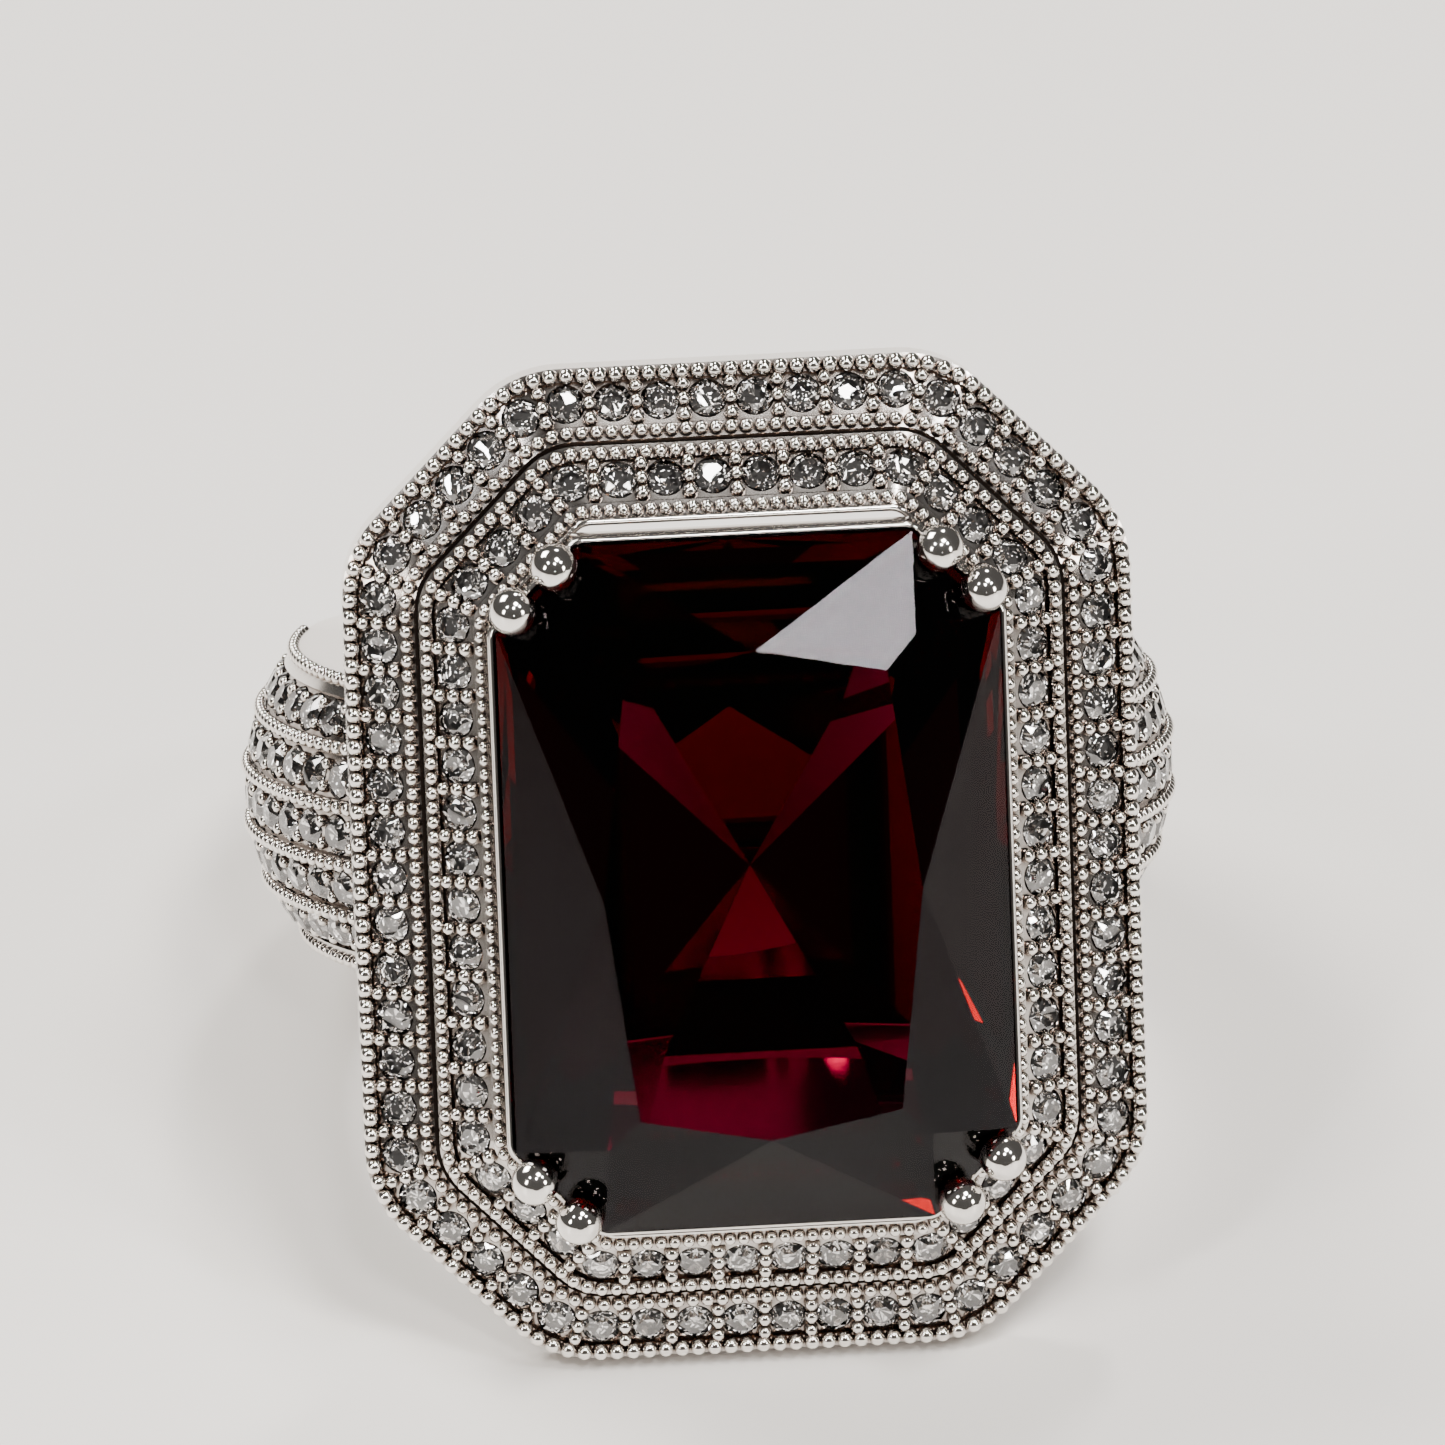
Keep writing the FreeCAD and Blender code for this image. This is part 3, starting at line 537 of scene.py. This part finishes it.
def lay_wire(name, points, radius, sides=10):
    """A closed round wire of the given radius along level points in the ring's frame."""
    vertices = []
    count = len(points)
    for index, point in enumerate(points):
        ahead = (points[(index + 1) % count] - points[index - 1]).normalized()
        outward = ahead.cross(Vector((0, 0, 1)))
        for side in range(sides):
            angle = 2 * math.pi * side / sides
            around = outward * math.cos(angle) + Vector((0, 0, 1)) * math.sin(angle)
            vertices.append(ring_to_world @ (point + around * radius))
    faces = []
    for index in range(count):
        following = (index + 1) % count
        for side in range(sides):
            other = (side + 1) % sides
            near = (index * sides + side, index * sides + other)
            far = (following * sides + other, following * sides + side)
            faces.append(near + far)
    mesh = bpy.data.meshes.new(name)
    mesh.from_pydata(vertices, [], faces)
    work = bmesh.new()
    work.from_mesh(mesh)
    bmesh.ops.recalc_face_normals(work, faces=work.faces)
    work.to_mesh(mesh)
    work.free()
    mesh.shade_smooth()
    mesh.materials.append(polished_metal)
    piece = bpy.data.objects.new(name, mesh)
    bpy.context.scene.collection.objects.link(piece)
    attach(piece, "root")
    print(name, "faces:", len(faces))


lip_points, _ = halo_guide(OPENING_OFFSET - LIP_RADIUS)
for point in lip_points:
    point.z = LIP_HEIGHT
lay_wire("opening_lip_edge", lip_points, LIP_RADIUS)
seat_points = cut_corner_outline(
    STONE_WIDTH / 2 + SEAT_EDGE_RADIUS,
    STONE_LENGTH / 2 + SEAT_EDGE_RADIUS,
    STONE_CORNER_CUT + SEAT_EDGE_RADIUS * (2 - math.sqrt(2)),
    OPENING_CORNER_RADIUS,
    GIRDLE_BOTTOM - SEAT_DROP,
)
lay_wire("seat_rail_edge", seat_points, SEAT_EDGE_RADIUS)


# %% [markdown]
# ## Beads that hold the small stones
# Between every two stones of a tier the setter raises a cross row of three beads out of the channel floor,
# and pushes them over the girdles. The stones are spaced evenly along the tier's middle line, starting in
# the middle of the upper end, so the beads sit half a step away from them.

# %% Setting beads on the halo
HALO_STONE_STEP = 1.2
CHANNEL_DEPTH = 0.12
CROSS_ROW = (-0.42, 0.0, 0.42)


def walk(points, distance):
    """The place and direction at a distance along a closed line of points."""
    for here, following in zip(points, points[1:] + points[:1]):
        step = following - here
        if distance <= step.length:
            return here + step.normalized() * distance, step.normalized()
        distance -= step.length
    return points[0], (points[1] - points[0]).normalized()


def halo_bead_points(offset, slope, lift):
    """Cross rows of beads, half way between the stones of one tier."""
    points, _ = halo_guide(offset, -CHANNEL_DEPTH)
    length = sum((b - a).length for a, b in zip(points, points[1:] + points[:1]))
    count = 2 * int(length / (2 * HALO_STONE_STEP))
    half_length = HALO_LENGTH / 2 - offset
    start = min(range(len(points)), key=lambda i: (points[i] - Vector((0, half_length, 0))).xy.length)
    ordered = points[start:] + points[:start]
    first = (ordered[0] - Vector((0, half_length, ordered[0].z))).length
    towards_middle = (ordered[1].x - ordered[0].x) * ordered[0].x < 0
    origin = first if towards_middle else length - first
    tilt = math.radians(slope)
    beads = []
    for index in range(count):
        place, ahead = walk(ordered, (origin + index * length / count) % length)
        outward = ahead.cross(Vector((0, 0, 1)))
        down = outward * math.cos(tilt) - Vector((0, 0, 1)) * math.sin(tilt)
        normal = outward * math.sin(tilt) + Vector((0, 0, 1)) * math.cos(tilt)
        beads += [place + down * across + normal * lift for across in CROSS_ROW]
    return beads


OUTER_MIDDLE = OUTER_TIER_WIDTH / 2
INNER_MIDDLE = (INNER_START + OPENING_OFFSET - LIP_WIDTH) / 2
HALO_BEAD_RADIUS = 0.2
HALO_BEAD_LIFT = 0.06
outer_beads = halo_bead_points(OUTER_MIDDLE, OUTER_SLOPE_DEGREES, HALO_BEAD_LIFT)
inner_beads = halo_bead_points(INNER_MIDDLE, INNER_SLOPE_DEGREES, HALO_BEAD_LIFT)
grow_beads("outer_setting_beads", setting_bead_tree, outer_beads, [], HALO_BEAD_RADIUS)
grow_beads("inner_setting_beads", setting_bead_tree, inner_beads, [], HALO_BEAD_RADIUS)


# %% [markdown]
# ## Shoulders
# Five rows of stones run up each domed shoulder. A milgrain line parts every two rows and one more runs
# along each edge, and two beads sit between neighbours in a row.

# %% Beads on the shoulders
BORE_RADIUS = 9.05
BRIDGE_TOP = 9.7
SHOULDER_WIDTH = 7.8
SHOULDER_EDGE = BORE_RADIUS + 1.85
SHOULDER_CROWN = BORE_RADIUS + 3.35
SHOULDER_START = math.radians(74.4)
ROW_PITCH = 1.54
ROWS = 5
SHOULDER_STONE_STEP = 1.3
LINE_STEPS = 40
LINE_END_GAP = 0.01
LINE_LIFT = 0.03
EDGE_LINE_INSET = 0.14
SHOULDER_MILGRAIN = (0.19, 0.42)
SHOULDER_BEAD_RADIUS = 0.17
SHOULDER_BEAD_ASIDE = 0.3
SHOULDER_BEAD_SINK = -0.06

dome_rise = SHOULDER_CROWN - SHOULDER_EDGE
dome_radius = (dome_rise ** 2 + (SHOULDER_WIDTH / 2) ** 2) / (2 * dome_rise)
dome_centre = SHOULDER_CROWN - dome_radius


def on_shoulder(side, angle, row, height):
    """A place on one shoulder: angle round the finger, angle across the dome, height over the dome."""
    outward = Vector((side * math.sin(angle), 0, -math.cos(angle)))
    normal = outward * math.cos(row) + Vector((0, math.sin(row), 0))
    return outward * dome_centre + normal * (dome_radius + height)


def shoulder_line(side, row, height):
    """A guide line along one shoulder, from the plain band up to the head."""
    distance = dome_centre + dome_radius * math.cos(row)
    last = math.pi - math.acos(min(1.0, BRIDGE_TOP / distance)) - LINE_END_GAP
    return [
        on_shoulder(side, SHOULDER_START + (last - SHOULDER_START) * i / LINE_STEPS, row, height)
        for i in range(LINE_STEPS + 1)
    ]


row_step = ROW_PITCH / dome_radius
edge_row = math.asin(SHOULDER_WIDTH / 2 / dome_radius) - EDGE_LINE_INSET / dome_radius
line_rows = [-edge_row] + [(i - 1.5) * row_step for i in range(ROWS - 1)] + [edge_row]
for side, label in ((-1, "left"), (1, "right")):
    points = []
    edges = []
    for row in line_rows:
        line = shoulder_line(side, row, LINE_LIFT)
        edges += [(len(points) + i, len(points) + i + 1) for i in range(len(line) - 1)]
        points += line
    grow_beads(label + "_shoulder_milgrain", milgrain_tree, points, edges, *SHOULDER_MILGRAIN)
    beads = []
    for index in range(ROWS):
        row = (index - 2) * row_step
        distance = dome_centre + (dome_radius - CHANNEL_DEPTH) * math.cos(row)
        step = SHOULDER_STONE_STEP / SHOULDER_CROWN
        first = SHOULDER_START + step / 2
        last = math.pi - math.acos(BRIDGE_TOP / distance) - step / 2
        count = int((last - first) / step) + 1
        across = SHOULDER_BEAD_ASIDE / dome_radius
        for number in range(count + 1):
            angle = first + number * step
            for aside in (-across, across):
                beads.append(on_shoulder(side, angle, row + aside, SHOULDER_BEAD_SINK))
    grow_beads(label + "_shoulder_setting_beads", setting_bead_tree, beads, [], SHOULDER_BEAD_RADIUS)


# %% [markdown]
# ## Floor, light and camera
# The ring stands on a plain pale floor with a satin surface, so it keeps a soft contact shadow.

# %% Floor
FLOOR_REACH = 1.0
floor_mesh = bpy.data.meshes.new("floor")
floor_corners = [(x * FLOOR_REACH, y * FLOOR_REACH, 0.0) for x, y in ((-1, -1), (1, -1), (1, 1), (-1, 1))]
floor_mesh.from_pydata(floor_corners, [], [(0, 1, 2, 3)])
floor = bpy.data.objects.new("floor", floor_mesh)
bpy.context.scene.collection.objects.link(floor)
floor_finish, floor_shader, _ = new_material("pale floor")
floor_shader.inputs["Base Color"].default_value = (0.80, 0.77, 0.73, 1.0)
floor_shader.inputs["Roughness"].default_value = 0.45
floor_mesh.materials.append(floor_finish)


# %% [markdown]
# One soft window from the upper left shapes the metal. The overhead light is small and lies where one facet
# of the large stone mirrors it. The others are smaller still: they give the beads and the small stones their
# sparkle, and lie where the large facets don't mirror them. Each light has a direction from the ring, its
# distance, its size and its power.

# %% Lights and surroundings
RING_MIDDLE = Vector((0.0, 0.0, 0.0115))
LIGHTS = {
    "window": ((-0.52, 0.40, 0.76), 0.50, (0.24, 0.18), 2.8, (1.0, 0.97, 0.93)),
    "overhead": ((0.235, -0.31, 0.92), 0.45, (0.10, 0.10), 1.9, (1.0, 0.97, 0.94)),
    "back_spark": ((0.22, 0.575, 0.785), 0.50, (0.06, 0.06), 0.9, (1.0, 0.96, 0.96)),
    "front_high": ((0.05, -0.62, 0.78), 0.50, (0.06, 0.06), 0.8, (1.0, 0.98, 0.96)),
    "left_high": ((-0.45, -0.45, 0.77), 0.50, (0.05, 0.05), 0.6, (0.97, 0.98, 1.0)),
    "right_high": ((0.52, -0.42, 0.74), 0.50, (0.05, 0.05), 0.6, (0.97, 0.98, 1.0)),
    "front_left": ((-0.75, -0.60, 0.42), 0.50, (0.07, 0.13), 0.9, (1.0, 0.95, 0.90)),
    "front_right": ((0.72, -0.60, 0.34), 0.50, (0.07, 0.10), 0.8, (1.0, 0.95, 0.90)),
}


def soft_box(name, direction, distance, size, power, colour):
    """A rectangular area light that faces the middle of the ring."""
    light = bpy.data.lights.new(name, "AREA")
    light.shape = "RECTANGLE"
    light.size, light.size_y = size
    light.energy = power
    light.color = colour
    towards_light = Vector(direction).normalized()
    lamp = bpy.data.objects.new(name, light)
    lamp.location = RING_MIDDLE + towards_light * distance
    lamp.rotation_euler = (-towards_light).to_track_quat("-Z", "Y").to_euler()
    bpy.context.scene.collection.objects.link(lamp)


for name, (direction, distance, size, power, colour) in LIGHTS.items():
    soft_box(name, direction, distance, size, power, colour)
print("lights:", len(LIGHTS))
world = bpy.data.worlds.new("surroundings")
world.use_nodes = True
world.node_tree.nodes["Background"].inputs["Color"].default_value = (0.42, 0.40, 0.38, 1.0)
world.node_tree.nodes["Background"].inputs["Strength"].default_value = 0.22
bpy.context.scene.world = world


# %% [markdown]
# A long lens from above and in front, a little to the left, keeps the ring's outline free of strong
# perspective.

# %% Camera
ELEVATION = math.radians(35.0)
AZIMUTH = math.radians(-5.0)
DISTANCE = 0.372
camera_data = bpy.data.cameras.new("camera")
camera_data.lens = 350.0
camera_data.sensor_width = 36.0
camera_data.clip_start = 0.01
camera_data.clip_end = 10.0
camera = bpy.data.objects.new("camera", camera_data)
towards = Vector((
    math.sin(AZIMUTH) * math.cos(ELEVATION),
    -math.cos(AZIMUTH) * math.cos(ELEVATION),
    math.sin(ELEVATION),
))
camera.location = RING_MIDDLE + towards * DISTANCE
camera.rotation_euler = (-towards).to_track_quat("-Z", "Y").to_euler()
bpy.context.scene.collection.objects.link(camera)
bpy.context.scene.camera = camera
print("camera at", tuple(round(v, 3) for v in camera.location))
